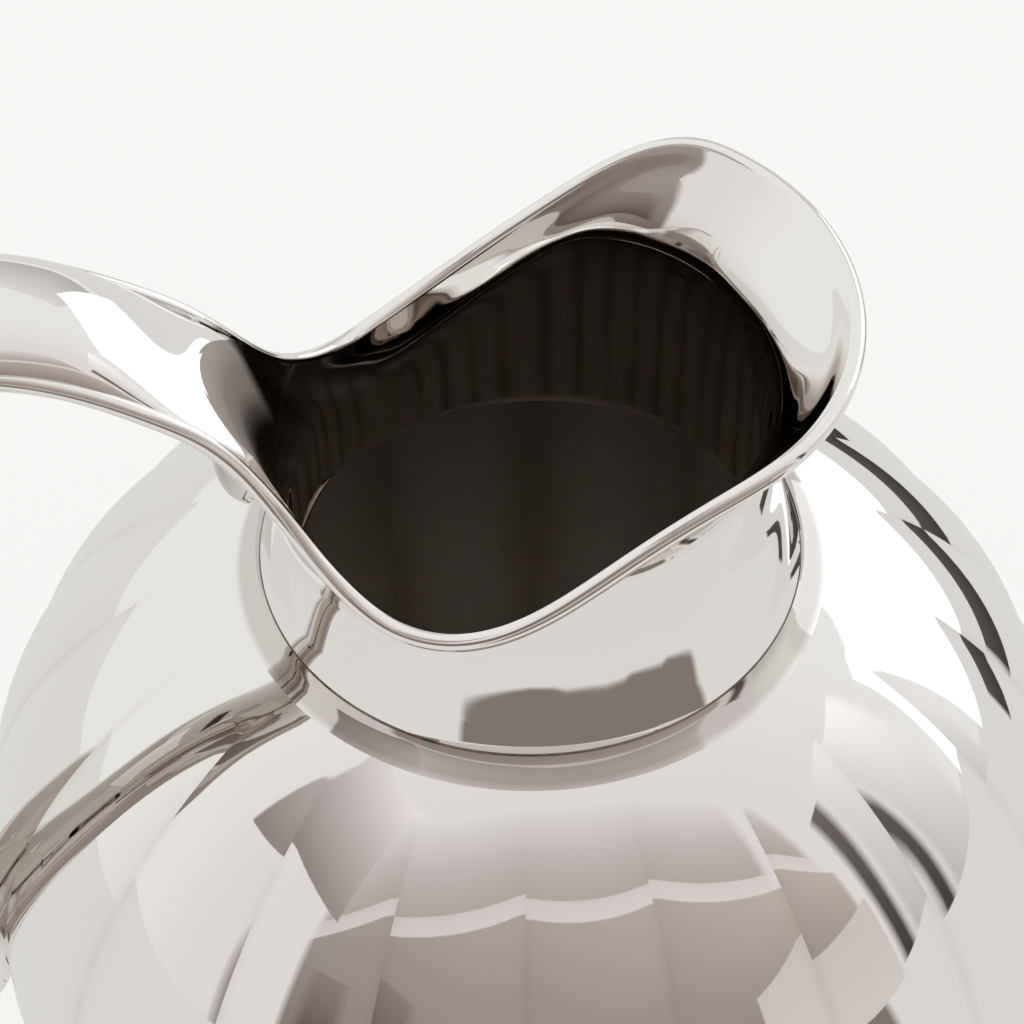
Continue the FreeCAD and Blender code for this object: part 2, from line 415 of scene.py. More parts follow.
bowl = {
    "lobes": 20,
    "perLobe": 16,
    "lobeDepth": 0.8 * mm,
    "lobePower": 2.0,
    "creasePower": 14.0,
    "fadeRate": 2.2,
    "leastFade": 0.02,
    "equator": 68 * mm,
    "baseRadius": 44 * mm,
    "collarWidth": 3.6 * mm,
    "collarHeight": 3.2 * mm,
    "collarSlopes": (37, 50),
    "coneRows": (0.3, 0.6, 0.9),
    "stripRows": (0.25, 0.6, 1.0),
    # painted shade in the corner under the seam
    "collarShade": 0.5,
    "throatInset": 4 * mm,
    "throatDrop": 6 * mm,
    "throatRows": 14,
    "outsideRows": 96,
    "insideRows": 64,
    "insideShare": 0.75,
}
collarRadius = seamRadius + bowl["collarWidth"]
collarFoot = seamHeight - bowl["collarHeight"]
topAngle = math.acos(collarRadius / bodyRadius)
lowAngle = math.acos(bowl["baseRadius"] / bodyRadius)
topHalf = (collarFoot - bowl["equator"]) / math.sin(topAngle)
lowHalf = (bowl["equator"] - footHeight) / math.sin(lowAngle)


def meridian(count, inset):
    share = np.linspace(-1, 1, count)
    angle = share * np.where(share > 0, topAngle, lowAngle)
    half = np.where(share > 0, topHalf, lowHalf)
    radius = (bodyRadius - inset) * np.cos(angle)
    height = bowl["equator"] + (half - inset) * np.sin(angle)
    fade = smoothStep(bowl["fadeRate"] * (1 - np.abs(share)))
    return np.stack([radius, height, fade], axis=1)


def bodyOutside(height):
    half = np.where(height > bowl["equator"], topHalf, lowHalf)
    lift = (height - bowl["equator"]) / half
    return bodyRadius * np.sqrt(np.clip(1 - lift**2, 0.0, 1.0))


def bowlProfile():
    outside = meridian(bowl["outsideRows"], 0)
    # under the seam: a cone, then a steeper strip
    start = (collarRadius, collarFoot)
    seam = (seamRadius, seamHeight - bead["half"])
    slopes = np.radians(bowl["collarSlopes"])
    ways = np.array([-np.cos(slopes), np.sin(slopes)])
    lengths = np.linalg.solve(ways, np.subtract(seam, start))
    bend = start + ways[:, 0] * lengths[0]
    cone = [np.add(start, (bend - start) * t) for t in bowl["coneRows"]]
    cone += [bend + (seam - bend) * t for t in bowl["stripRows"]]
    # a seat for the neck, then down to the edge of the throat
    seat = (seamRadius - 2 * wall, seam[1])
    edge = (seamRadius - bowl["throatInset"], seamHeight - bowl["throatDrop"])
    swell = wall * 2 / 3
    middle = ((seat[0] + edge[0] - swell) / 2, (seat[1] + edge[1] + swell) / 2)
    throat = arcThrough(seat, middle, edge, bowl["throatRows"])
    turned = np.array([[edge[0] + wall * 0.5, edge[1] - wall * 0.3], [edge[0] + wall, edge[1]]])
    inner = meridian(bowl["insideRows"], wall)[::-1]
    lid = np.array([[inner[0, 0] - wall, inner[0, 1] + wall * 0.3]])
    plain = np.concatenate([np.array(cone), throat, turned, lid])
    plain = np.concatenate([plain, np.zeros((len(plain), 1))], axis=1)
    base = np.array([[discRadius, inner[-1, 1], 0.0], [discRadius, footHeight, 0.0]])
    profile = np.concatenate([outside, plain, inner, base])
    # the polished part ends at the edge of the throat
    polished = len(outside) + len(cone) + len(throat)
    inside = np.arange(len(profile)) >= polished
    inside[-1] = False
    collarRow = len(outside) - 1
    seamRow = collarRow + len(cone)
    return profile, inside, (collarRow, seamRow, seamRow + 1)


def lobeTree():
    sockets = [
        ("Lobes", "NodeSocketFloat"),
        ("Depth", "NodeSocketFloat"),
        ("Outside", "NodeSocketMaterial"),
        ("Inside", "NodeSocketMaterial"),
    ]
    tree, given, result = newTree("press lobes", sockets)
    place = addNode(tree, "GeometryNodeInputPosition").outputs[0]
    split = splitVector(tree, place)
    turn = mathNode(tree, "ARCTAN2", split["Y"], split["X"])
    lobe = mathNode(tree, "MULTIPLY", turn, given.outputs["Lobes"])
    lobe = mathNode(tree, "DIVIDE", lobe, 2 * math.pi)
    # half a lobe on, and far enough round to stay above zero
    phase = mathNode(tree, "FRACT", mathNode(tree, "ADD", lobe, bowl["lobes"] + 0.5))
    beside = mathNode(tree, "MULTIPLY", mathNode(tree, "SUBTRACT", phase, 0.5), 2.0)
    beside = mathNode(tree, "ABSOLUTE", beside)
    fade = namedValue(tree, "fade")
    press = mathNode(tree, "POWER", beside, bowl["lobePower"])
    press = mathNode(tree, "MULTIPLY", press, fade)
    depth = mathNode(tree, "MULTIPLY", press, given.outputs["Depth"])
    depth = mathNode(tree, "MULTIPLY", depth, -1.0)
    flat = vectorNode(tree, "MULTIPLY", {0: place, 1: (1.0, 1.0, 0.0)})
    radial = vectorNode(tree, "NORMALIZE", {0: flat})
    offset = vectorNode(tree, "SCALE", {0: radial, "Scale": depth})
    crease = mathNode(tree, "POWER", beside, bowl["creasePower"])
    crease = mathNode(tree, "MULTIPLY", crease, fade)
    values = {"Geometry": given.outputs["Geometry"], "Name": "crease", "Value": crease}
    keep = addNode(tree, "GeometryNodeStoreNamedAttribute", values, data_type="FLOAT")
    values = {"Geometry": keep.outputs[0], "Offset": offset}
    shape = addNode(tree, "GeometryNodeSetPosition", values).outputs[0]
    shape = paint(tree, realise(tree, shape), given.outputs["Outside"])
    within = mathNode(tree, "GREATER_THAN", namedValue(tree, "inside"), bowl["insideShare"])
    fill(tree, result, {0: paint(tree, shape, given.outputs["Inside"], within)})
    return tree


def makeBowl():
    profile, inside, rims = bowlProfile()
    rows, columns = len(profile), bowl["lobes"] * bowl["perLobe"]
    points = revolve(profile[:, :2], columns)
    lobed = profile[:, 2] > bowl["leastFade"]
    pressed = [row for row in range(rows - 1) if lobed[row] and lobed[row + 1]]
    valleys = range(bowl["perLobe"] // 2, columns, bowl["perLobe"])
    sharp = lineEdges(pressed, columns, valleys) + ringEdges(rims, columns)
    piece = makePiece("lobed_bowl", points, gridFaces(rows, columns), [], sharp)
    addAttribute(piece, "fade", np.repeat(profile[:, 2], columns))
    addAttribute(piece, "inside", np.repeat(inside, columns))
    # painted shade in the corner under the seam
    paintedShade = np.zeros(rows)
    paintedShade[rims[0] + 1 : rims[1] + 1] = bowl["collarShade"]
    addAttribute(piece, "paintedShade", np.repeat(paintedShade, columns))
    values = {
        "Lobes": float(bowl["lobes"]),
        "Depth": bowl["lobeDepth"],
        "Outside": silver,
        "Inside": insideMetal,
    }
    addNodesModifier(piece, lobeTree(), values)
    return bakeNodes(piece)


# rises are counted from the seam, and angles in degrees from the lip
neck = {
    "waistInset": 4.1 * mm,
    "waistRise": 15 * mm,
    "waistSoftness": 4 * mm,
    "fillet": 0.5 * mm,
    "filletRise": 4 * mm,
    "spoutFlare": 9.7 * mm,
    "spoutFullness": 0.45,
    "spoutRise": 45 * mm,
    "spoutBend": 34.5 * mm,
    "spoutBendDrop": 8 * mm,
    "spoutSoftness": 3 * mm,
    "rootFlare": 10.7 * mm,
    "rootRise": 44.5 * mm,
    "rootBend": 15 * mm,
    "rootSoftness": 4.5 * mm,
    "dipRise": 17 * mm,
    "dipSetback": 24 * mm,
    "rootLength": 1.5 * mm,
    "lipLength": 13 * mm,
    "rounding": 0.2,
    "sleeveDrop": 3.2 * mm,
    "edgeRoll": 2.2 * mm,
    "rollDepth": 5.2 * mm,
    "rollSoftness": 1.6 * mm,
    "rollTo": 150,
    "rollFade": 0.6,  # in radians
    "lipUnroll": 0.8,
    "rootBand": 0.6 * mm,
    "bandOut": 1.15,
    "bandDepth": 4.5 * mm,
    "bandRise": 0.8,
    "wireTo": 165,
    "rootFrom": 160,
    "evenFrom": 159,
    "evenPasses": 3,
    "rootHeadroom": 8 * mm,
    "rootTries": 1000,
    "rootShares": 1500,
    "rootHeld": 0.985,
    # where the painted shade inside the neck begins, and how much later it begins toward the lip
    "shadeStart": 0.7,
    "lipShadeDelay": 0.9,
    "satinAcross": 2.5,
    "satinDown": (1.9, 0.5),
    "columns": 320,
    "rows": 60,
    "outerCrowding": 1.5,
    "innerCrowding": 0.8,
}
wireRadius = 1.3 * mm
wireOut = wireRadius / 6  # how far the wire's middle stands outside the neck
halvings = 40  # steps of each search for a place
waistRadius = seamRadius - neck["waistInset"]
spoutReach = waistRadius + neck["spoutFlare"]
rootReach = waistRadius + neck["rootFlare"]


def flare(rise, bend, top, softness):
    low = softRamp(-bend, softness)
    return (softRamp(rise - bend, softness) - low) / (softRamp(top - bend, softness) - low)


def towardEnd(lean):
    return softRamp(lean, neck["rounding"]) / softRamp(1.0, neck["rounding"])


def waistLine(angle, rise):
    towardLip, towardRoot = towardEnd(np.cos(angle)), towardEnd(-np.cos(angle))
    full = neck["spoutFullness"]
    lip = neck["spoutFlare"] * towardLip * (1 + full - full * towardLip)
    root = neck["rootFlare"] * towardRoot**2
    bend = neck["spoutBend"] - neck["spoutBendDrop"] * (1 - towardLip) ** 2
    lip = lip * flare(rise, bend, neck["spoutRise"], neck["spoutSoftness"])
    root = root * flare(rise, neck["rootBend"], neck["rootRise"], neck["rootSoftness"])
    return waistRadius + lip + root


# outer face: the waist stands on a short cone with a small fillet at the seam
def neckRadius(angle, rise):
    left = softRamp(neck["waistRise"] - rise, neck["waistSoftness"])
    cone = left / softRamp(neck["waistRise"], neck["waistSoftness"])
    fillet = np.maximum(0.0, 1 - rise / neck["filletRise"]) ** 2
    radius = waistLine(angle, rise) + (neck["waistInset"] - neck["fillet"]) * cone
    return radius + neck["fillet"] * fillet


def rimRise(x):
    pastDip = x + rootReach - neck["dipSetback"]
    length = rootReach - neck["dipSetback"] + spoutReach - neck["lipLength"]
    ahead = neck["dipRise"] + (neck["spoutRise"] - neck["dipRise"]) * smoothStep(pastDip / length)
    height = neck["rootRise"] - neck["dipRise"]
    climb = height * (pastDip / (neck["dipSetback"] - neck["rootLength"])) ** 2
    behind = neck["rootRise"] - softRamp(height - climb, wireRadius)
    return np.where(pastDip >= 0, ahead, behind)


def rimLine(angle):
    low, high = np.zeros_like(angle), np.full_like(angle, neck["spoutRise"] + 4 * wireRadius)
    for _ in range(halvings):
        rise = (low + high) / 2
        below = rise < rimRise(neckRadius(angle, rise) * np.cos(angle))
        low, high = np.where(below, rise, low), np.where(below, high, rise)
    radius = neckRadius(angle, rise) + wireOut
    return roundAxis(radius, angle, seamHeight + rise)


# smooth line through a few points, read at shares of its length from 0 to 1
class LineThrough:
    def __init__(self, points):
        self.points = np.asarray(points, float)
        chords = np.linalg.norm(np.diff(self.points, axis=0), axis=1)
        self.knots = np.concatenate([[0.0], np.cumsum(chords)]) / chords.sum()
        self.slopes = self.solve()

    def endSlope(self, knots, points):
        slope = np.zeros(points.shape[1])
        for i in range(len(knots)):
            others = [j for j in range(len(knots)) if j != i]
            scale = np.prod([knots[i] - knots[j] for j in others])
            total = sum(np.prod([knots[0] - knots[k] for k in others if k != j]) for j in others)
            slope += points[i] * total / scale
        return slope

    def solve(self):
        t, p = self.knots, self.points
        count = len(t)
        matrix, right = np.eye(count), np.zeros_like(p)
        right[0] = self.endSlope(t[:4], p[:4])
        right[-1] = self.endSlope(t[::-1][:4], p[::-1][:4])
        for i in range(1, count - 1):
            before, after = t[i] - t[i - 1], t[i + 1] - t[i]
            matrix[i, i - 1 : i + 2] = after, 2 * (before + after), before
            right[i] = 3 * (after * (p[i] - p[i - 1]) / before + before * (p[i + 1] - p[i]) / after)
        return np.linalg.solve(matrix, right)

    def at(self, share):
        share = np.asarray(share, float)
        i = np.clip(np.searchsorted(self.knots, share) - 1, 0, len(self.knots) - 2)
        span = (self.knots[i + 1] - self.knots[i])[..., None]
        s = (share - self.knots[i])[..., None] / span
        a, b = self.points[i], self.points[i + 1]
        m, n = self.slopes[i] * span, self.slopes[i + 1] * span
        place = (2 * s**3 - 3 * s**2 + 1) * a + (s**3 - 2 * s**2 + s) * m
        place = place + (3 * s**2 - 2 * s**3) * b + (s**3 - s**2) * n
        along = (6 * s**2 - 6 * s) * (a - b) + (3 * s**2 - 4 * s + 1) * m + (3 * s**2 - 2 * s) * n
        return place, along / np.linalg.norm(along, axis=-1, keepdims=True)


handle = {
    "width": 23 * mm,
    "thickness": 12 * mm,
    "wall": 1.2 * mm,
    "rise": 57 * mm,
    "crestSetback": 34 * mm,
    "clearance": 35 * mm,
    "endHeight": 58 * mm,
    "startAt": (0.66, 0.37),
    "climbAt": (0.21, 0.82),
    "outermostAt": 0.4,
    "returnAt": (0.35, 0.25),
    "endSunk": 0.6,
    "rootTaper": 0.68,
    "rootTaperRun": (1.25, 5),
    "rootFlat": 0.72,
    "flatShare": 0.11,
    "endTaper": 0.75,
    "endTaperFrom": 0.4,
    "neckShares": (0.0, 0.3),
    "bellyShares": (1.0, 0.75),
    "bellyDepth": 0.6 * mm,
    "seamGroove": 0.14 * mm,
    "grooveTurns": (0, 0.012, 0.05),
    "grooveEase": 0.3,
    "rootFillet": 6 * mm,
    "endFillet": 5 * mm,
    "filletAcross": 0.5,
    "filletFade": 0.7,
    "filletSteepest": 0.999,
    # how the painted shade on the underside fades toward the handle's sides
    "shadePower": 1.5,
    "stations": 170,
    "crowding": 0.35,
    "around": 36,
}


# from inside the neck over the crest and down into the belly
def handlePath():
    rise, setback, end = handle["rise"], handle["crestSetback"], handle["endHeight"]
    start, climb, back = handle["startAt"], handle["climbAt"], handle["returnAt"]
    top, reach = seamHeight + rise, bodyRadius + handle["clearance"]
    drop = top - end
    return LineThrough(
        [
            (-rootReach * start[0], seamHeight + rise * start[1]),
            (-rootReach - setback * climb[0], seamHeight + rise * climb[1]),
            (-rootReach - setback, top),
            (-reach, top - drop * handle["outermostAt"]),
            (-reach + handle["clearance"] * back[0], end + drop * back[1]),
            (-bodyRadius + handle["thickness"] * handle["endSunk"], end),
        ]
    )


handleLine = handlePath()


def handleSize(share):
    start, rate = handle["rootTaperRun"]
    rootTaper = 1 - (1 - handle["rootTaper"]) * smoothStep(start - rate * share)
    late = (share - handle["endTaperFrom"]) / (1 - handle["endTaperFrom"])
    endTaper = 1 - (1 - handle["endTaper"]) * smoothStep(late)
    return handle["width"] * endTaper, handle["thickness"] * rootTaper * endTaper


# the outer half is flat where it meets the neck
def crown(share):
    return 1 - handle["rootFlat"] * smoothStep(2 - share / handle["flatShare"])


def handlePoint(share, turn, side, inset=0.0):
    centre, along = handleLine.at(share)
    width, thickness = handleSize(share)
    if side > 0:
        thickness = thickness * crown(share)
    across = (width / 2 - inset) * np.cos(turn)
    out = (thickness / 2 - inset) * np.sin(turn) * side
    x = centre[..., 0] + along[..., 1] * out
    z = centre[..., 1] - along[..., 0] * out
    return np.stack([x, across, z], axis=-1)


def neckGap(points):
    angle = np.arctan2(points[..., 1], points[..., 0])
    return np.hypot(points[..., 0], points[..., 1]) - neckRadius(angle, points[..., 2] - seamHeight)


def bodyGap(points):
    return np.hypot(points[..., 0], points[..., 1]) - bodyOutside(points[..., 2])


def shareWhere(turn, side, gap, depth, span, inset=0.0):
    low, high = np.full_like(turn, span[0]), np.full_like(turn, span[1])
    for _ in range(halvings):
        middle = (low + high) / 2
        within = gap(handlePoint(middle, turn, side, inset)) < -depth
        low, high = np.where(within, middle, low), np.where(within, high, middle)
    return middle


print("shapes worked out")

wire = {
    "leaveRim": 153,
    "joinHandle": 0.125,
    "lastShare": 0.34,
    "rimPoints": 40,
    "sidePoints": 8,
    "sinking": (0.35, 1.6),
    "points": 420,
    "sides": 20,
    "seatSunk": 0.02 * mm,
    "seatBlend": 2.5,
    "seatEnd": 3,
    "seatFade": 0.25,  # in radians
}


# the rim wire runs on along both sides of the handle and sinks into it
def wireLine():
    rim = rimLine(np.radians(np.linspace(0, wire["leaveRim"], wire["rimPoints"])))
    share = np.linspace(wire["joinHandle"], wire["lastShare"], wire["sidePoints"])
    side = handlePoint(share, np.zeros_like(share), 1)
    proud, fall = wire["sinking"]
    side[:, 1] += wireRadius * (proud - fall * np.linspace(0, 1, len(share)))
    half = np.concatenate([rim, side])
    other = half[:0:-1] * np.array([1, -1, 1])
    return LineThrough(np.concatenate([other, half]))


rimPath, _ = wireLine().at(np.linspace(0, 1, wire["points"]))


def wireTree():
    sockets = [
        ("Radius", "NodeSocketFloat"),
        ("Sides", "NodeSocketInt"),
        ("Metal", "NodeSocketMaterial"),
    ]
    tree, given, result = newTree("wire along rim", sockets)
    values = {"Radius": given.outputs["Radius"], "Resolution": given.outputs["Sides"]}
    ring = addNode(tree, "GeometryNodeCurvePrimitiveCircle", values).outputs[0]
    values = {"Curve": given.outputs["Geometry"], "Profile Curve": ring, "Fill Caps": True}
    shape = addNode(tree, "GeometryNodeCurveToMesh", values).outputs[0]
    shape = addNode(tree, "GeometryNodeSetShadeSmooth", {"Geometry": shape}).outputs[0]
    fill(tree, result, {0: paint(tree, realise(tree, shape), given.outputs["Metal"])})
    return tree


def makeWire():
    curve = bpy.data.curves.new("rim_bead", "CURVE")
    curve.dimensions = "3D"
    spline = curve.splines.new("POLY")
    spline.points.add(len(rimPath) - 1)
    for point, place in zip(spline.points, rimPath):
        point.co = (*place, 1.0)
    path = bpy.data.objects.new("rim_bead", curve)
    scene.collection.objects.link(path)
    values = {"Radius": wireRadius, "Sides": wire["sides"], "Metal": silver}
    addNodesModifier(path, wireTree(), values)
    return bakeNodes(path)


# share of the root band: full in the middle of the handle, nothing at its sides
def bandShare(angle):
    radius = neckRadius(math.pi, neck["bandRise"] * neck["rootRise"])
    beside = radius * np.sin(angle) / (handle["width"] / 2)
    return np.clip(1 - beside**2, 0.0, 1.0) * (np.cos(angle) < 0)


# height of the neck's edge: under the wire, and just under the handle's top face at the root
def neckEdge(angles):
    ahead = rimPath[len(rimPath) // 2 :]
    turns = np.arctan2(ahead[:, 1], ahead[:, 0])
    rises = ahead[:, 2] - seamHeight
    highest = int(np.argmax(turns > math.radians(neck["wireTo"]))) or len(turns)
    edge = np.interp(np.abs(angles), turns[:highest], rises[:highest])
    highestTry = neck["rootRise"] + neck["rootHeadroom"]
    tries = np.linspace(neck["dipRise"], highestTry, neck["rootTries"])
    shares = np.linspace(*handle["neckShares"], neck["rootShares"])
    centre, along = handleLine.at(shares)
    width, thickness = handleSize(shares)
    rows = np.arange(len(tries))
    for index in np.nonzero(np.abs(angles) > math.radians(neck["rootFrom"]))[0]:
        angle = angles[index]
        radius = neckRadius(angle, tries) - wall / 2
        radius = radius + (wall / 2 + neck["rootBand"]) * bandShare(angle)
        x, y = radius * math.cos(angle), radius * math.sin(angle)
        away = np.stack([x, seamHeight + tries], axis=1)[:, None] - centre
        nearest = np.argmin(np.hypot(away[..., 0], away[..., 1]), axis=1)
        away, way = away[rows, nearest], along[nearest]
        out = away[:, 0] * way[:, 1] - away[:, 1] * way[:, 0]
        half = thickness[nearest] / 2 * np.where(out > 0, crown(shares[nearest]), 1.0)
        oval = (y / (width[nearest] / 2)) ** 2 + (out / half) ** 2
        held = tries[oval < neck["rootHeld"]]
        if len(held):
            edge[index] = held.max()
    # no step where the wire gives way to the handle
    for _ in range(neck["evenPasses"]):
        even = (np.roll(edge, 1) + edge + np.roll(edge, -1)) / 3
        edge = np.where(np.abs(angles) > math.radians(neck["evenFrom"]), even, edge)
    return edge


def makeNeck():
    angles = (np.arange(neck["columns"]) / neck["columns"] * 2 - 1) * math.pi
    edge = neckEdge(angles)
    share = np.linspace(0, 1, neck["rows"])[:, None]
    towardLip = smoothStep(np.cos(angles))
    band = bandShare(angles)

    # full at the edge, nothing where the root band ends
    def bandFade(level):
        return np.clip(1 - (edge - level) / neck["bandDepth"], 0, 1) ** 2

    rise = bead["half"] + (edge - bead["half"]) * share ** neck["outerCrowding"]
    outside = neckRadius(angles, rise)
    outside = outside + neck["bandOut"] * neck["rootBand"] * band * bandFade(rise)
    # inner face: tangent to the wire, rolled outward below it, then straight down into the throat
    drop = -neck["sleeveDrop"]
    sides = smoothStep((np.radians(neck["rollTo"]) - np.abs(angles)) / neck["rollFade"])
    sides = sides * (1 - neck["lipUnroll"] * towardLip)

    def innerLine(deep):
        left = softRamp(neck["rollDepth"] - (edge - deep), neck["rollSoftness"])
        rolled = left / softRamp(neck["rollDepth"], neck["rollSoftness"])
        return waistLine(angles, deep) - wall - neck["edgeRoll"] * sides * (1 - rolled)

    seatEnd = math.radians(wire["leaveRim"] - wire["seatEnd"])
    wired = smoothStep((seatEnd - np.abs(angles)) / wire["seatFade"])
    lean = np.arctan((innerLine(edge) - innerLine(edge - mm)) / mm)
    top = edge + wireRadius * np.sin(lean) * wired
    deep = drop + (top - drop) * share ** neck["innerCrowding"]
    inside = innerLine(deep)
    touch = outside[-1] + wireOut - (wireRadius - wire["seatSunk"]) * np.cos(lean)
    near = smoothStep(1 - (top - deep) / (wire["seatBlend"] * wireRadius))
    inside = inside + (touch - inside[-1]) * wired * near
    # satin band that leads up to the handle's top face
    inside = inside + (wall + neck["rootBand"]) * band * bandFade(deep)
    lap = np.array([wall * 0.5, wall * 0.9])[:, None] + inside[:1]
    lapHeight = np.array([drop - wall * 0.2, drop])[:, None] + 0 * angles
    radius = np.concatenate([outside, inside[::-1], lap])
    height = seamHeight + np.concatenate([rise, deep[::-1], lapHeight])
    points = roundAxis(radius, angles, height)
    rows, columns = radius.shape
    last = neck["rows"] - 1
    rims = ringEdges((0, last, last + 1, rows - 1), columns)
    piece = makePiece("plain_neck", points, gridFaces(rows, columns), [silver], rims)
    # painted shade below the rolled edge, satin in the root band
    inner = slice(neck["rows"], 2 * neck["rows"])
    below = (edge - deep)[::-1]
    paintedShade, satin = np.zeros((rows, columns)), np.zeros((rows, columns))
    depth = below / neck["rollDepth"] / (1 + neck["lipShadeDelay"] * towardLip)
    paintedShade[inner] = smoothStep(depth - neck["shadeStart"])
    start, rate = neck["satinDown"]
    filed = smoothStep(start - rate * below / neck["bandDepth"])
    satin[inner] = smoothStep(neck["satinAcross"] * band) * filed
    addAttribute(piece, "paintedShade", paintedShade)
    addAttribute(piece, "satin", satin)
    return piece


def makeHandleHalf(name, side):
    turn = np.linspace(0, math.pi, handle["around"] + 1)
    # two more lines beside each seam let the edges turn into the groove
    beside = np.array(handle["grooveTurns"])
    turn = np.concatenate([beside, turn[1:-1], math.pi - beside[::-1]])
    reach = wall * 0.6 - (wall * 0.3 + neck["rootBand"]) * np.sin(turn) ** 2 * (side > 0)
    first = shareWhere(turn, side, neckGap, reach, handle["neckShares"])
    lining = shareWhere(turn, side, neckGap, reach, handle["neckShares"], handle["wall"])
    lining = np.maximum(first, lining)
    last = shareWhere(turn, side, bodyGap, handle["bellyDepth"], handle["bellyShares"])
    step = np.linspace(0, 1, handle["stations"])[:, None]
    step = step - handle["crowding"] * np.sin(2 * math.pi * step) / (2 * math.pi)
    share = first + (last - first) * step
    outer = handlePoint(share, turn, side)
    inner = handlePoint(lining + (last - lining) * step, turn, side, handle["wall"])
    groove = np.zeros_like(turn)
    groove[[0, -1]] = handle["seamGroove"]
    groove[[1, -2]] = handle["seamGroove"] * handle["grooveEase"]
    outer[..., 1] -= groove * np.sign(np.cos(turn))
    outer += spread(outer, turn, side, share)
    loop = np.concatenate([outer, inner[:, ::-1]], axis=1)
    rows, columns = loop.shape[:2]
    faces = gridFaces(rows, columns, wrapRows=False)
    half = columns // 2
    for row in (0, rows - 1):
        a, b = row * columns, (row + 1) * columns - 1
        faces += [(a + c, a + c + 1, b - c - 1, b - c) for c in range(half - 1)]
    sharp = ringEdges((0, rows - 1), columns)
    sharp += lineEdges(range(rows - 1), columns, (0, half - 1, half, columns - 1))
    piece = makePiece(name, loop, faces, [silver], sharp)
    # painted shade on the underside
    if side < 0:
        paintedShade = np.concatenate([np.sin(turn) ** handle["shadePower"], 0 * turn])
        addAttribute(piece, "paintedShade", np.broadcast_to(paintedShade, (rows, columns)))
    return piece


# hollow fillets where the handle meets the neck and the belly
def spread(points, turn, side, share):
    _, along = handleLine.at(share)
    facing = np.stack(
        [
            along[..., 1] * np.sin(turn) * side,
            handle["filletAcross"] * np.cos(turn) + 0 * share,
            -along[..., 0] * np.sin(turn) * side,
        ],
        axis=-1,
    )
    facing /= np.linalg.norm(facing, axis=-1, keepdims=True)
    # at the root, only the inner half has one
    atRoot = handle["rootFillet"] * (side < 0) * np.sin(turn) ** handle["filletFade"]
    atEnd = handle["endFillet"] * np.ones_like(turn)
    move = np.zeros(points.shape[:-1])
    for gap, radius, region in ((neckGap, atRoot, share < 0.5), (bodyGap, atEnd, share > 0.5)):
        radius = np.maximum(radius, 1e-6)
        near = np.clip(1 - gap(points) / radius, 0, 1)
        rounded = radius * (1 - np.sqrt(1 - near**2 * handle["filletSteepest"]))
        move += np.where(region, rounded, 0)
    return facing * move[..., None]


foot = {
    "width": 8.5 * mm,
    "edge": 0.9 * mm,
    "edgeRows": 6,
    "mostOfSide": 0.4,
    "hollow": 0.7 * mm,
    "hollowFall": 0.4,
    "hollowRows": 7,
    "hollowSpan": (0.2, 0.8),
    "columns": 200,
}


def makeFoot():
    bore, tread = footRadius - foot["width"], footRadius - wall
    top = bowl["baseRadius"] - wall
    corners = [(bore, 0), (tread, 0), (footRadius, wall), (top, footHeight), (bore, footHeight)]
    slopeStart = 2
    profile = []
    for index, corner in enumerate(corners):
        corner = np.array(corner)
        following = np.array(corners[(index + 1) % len(corners)])
        before, after = np.array(corners[index - 1]) - corner, following - corner
        lengths = np.linalg.norm(before), np.linalg.norm(after)
        size = min(foot["edge"], foot["mostOfSide"] * lengths[0], foot["mostOfSide"] * lengths[1])
        a = corner + before / lengths[0] * size
        b = corner + after / lengths[1] * size
        for t in np.linspace(0, 1, foot["edgeRows"]):
            profile.append((1 - t) ** 2 * a + 2 * t * (1 - t) * corner + t**2 * b)
        # a slight hollow in the sloping face
        if index == slopeStart:
            for t in np.linspace(*foot["hollowSpan"], foot["hollowRows"]):
                hollow = math.sin(math.pi * t) * foot["hollow"]
                inward = np.array([hollow, hollow * foot["hollowFall"]])
                profile.append(corner + (following - corner) * t - inward)
    points = revolve(profile, foot["columns"])
    faces = gridFaces(len(profile), foot["columns"])
    return makePiece("foot", points, faces, [silver])


def makeBead():
    turn = np.arange(bead["columns"]) * 2 * math.pi / bead["columns"]
    uneven = sum(np.sin(turn * k + k * k) / k**0.5 for k in bead["waves"]) / 2
    around = np.arange(bead["sides"]) * 2 * math.pi / bead["sides"]
    size = bead["radius"] * (1 + bead["unevenness"] * uneven)
    radius = seamRadius - bead["radius"] * bead["sunk"] + size * np.cos(around)[:, None]
    height = seamHeight + size * np.sin(around)[:, None]
    points = roundAxis(radius, turn, height)
    faces = gridFaces(bead["sides"], bead["columns"])
    return makePiece("solder_line", points, faces, [solder])


def place(piece, slot, *nodes):
    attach(piece, "root")
    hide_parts(*nodes)


place(makeBowl(), "polished_silver", "body_bowl")
print("bowl done")
place(makeNeck(), "polished_silver", "neck_collar")
place(makeWire(), "polished_silver", "rim_wire")
place(makeBead(), "dark_solder", "neck_solder_bead")
print("neck, rim and solder done")
place(makeHandleHalf("handle_outer", 1), "polished_silver", "handle_outer_half")
place(makeHandleHalf("handle_inner", -1), "polished_silver", "handle_inner_half")
print("handle done")
place(makeFoot(), "polished_silver", "foot_ring")
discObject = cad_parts["base_disc"]
discObject.data.materials.clear()
discObject.data.materials.append(insideMetal)
print("foot and base done")

# camera at the photographed view: the neck's seam lies at a known pixel
view = {
    "azimuth": -8.0,
    "elevation": 48.0,
    "roll": -0.3,
    "distance": 0.7,
    "lens": 173.5,
    "sensor": 36.0,
    "seamPixel": (530.1, 545.7),
    "frame": 1024,
}


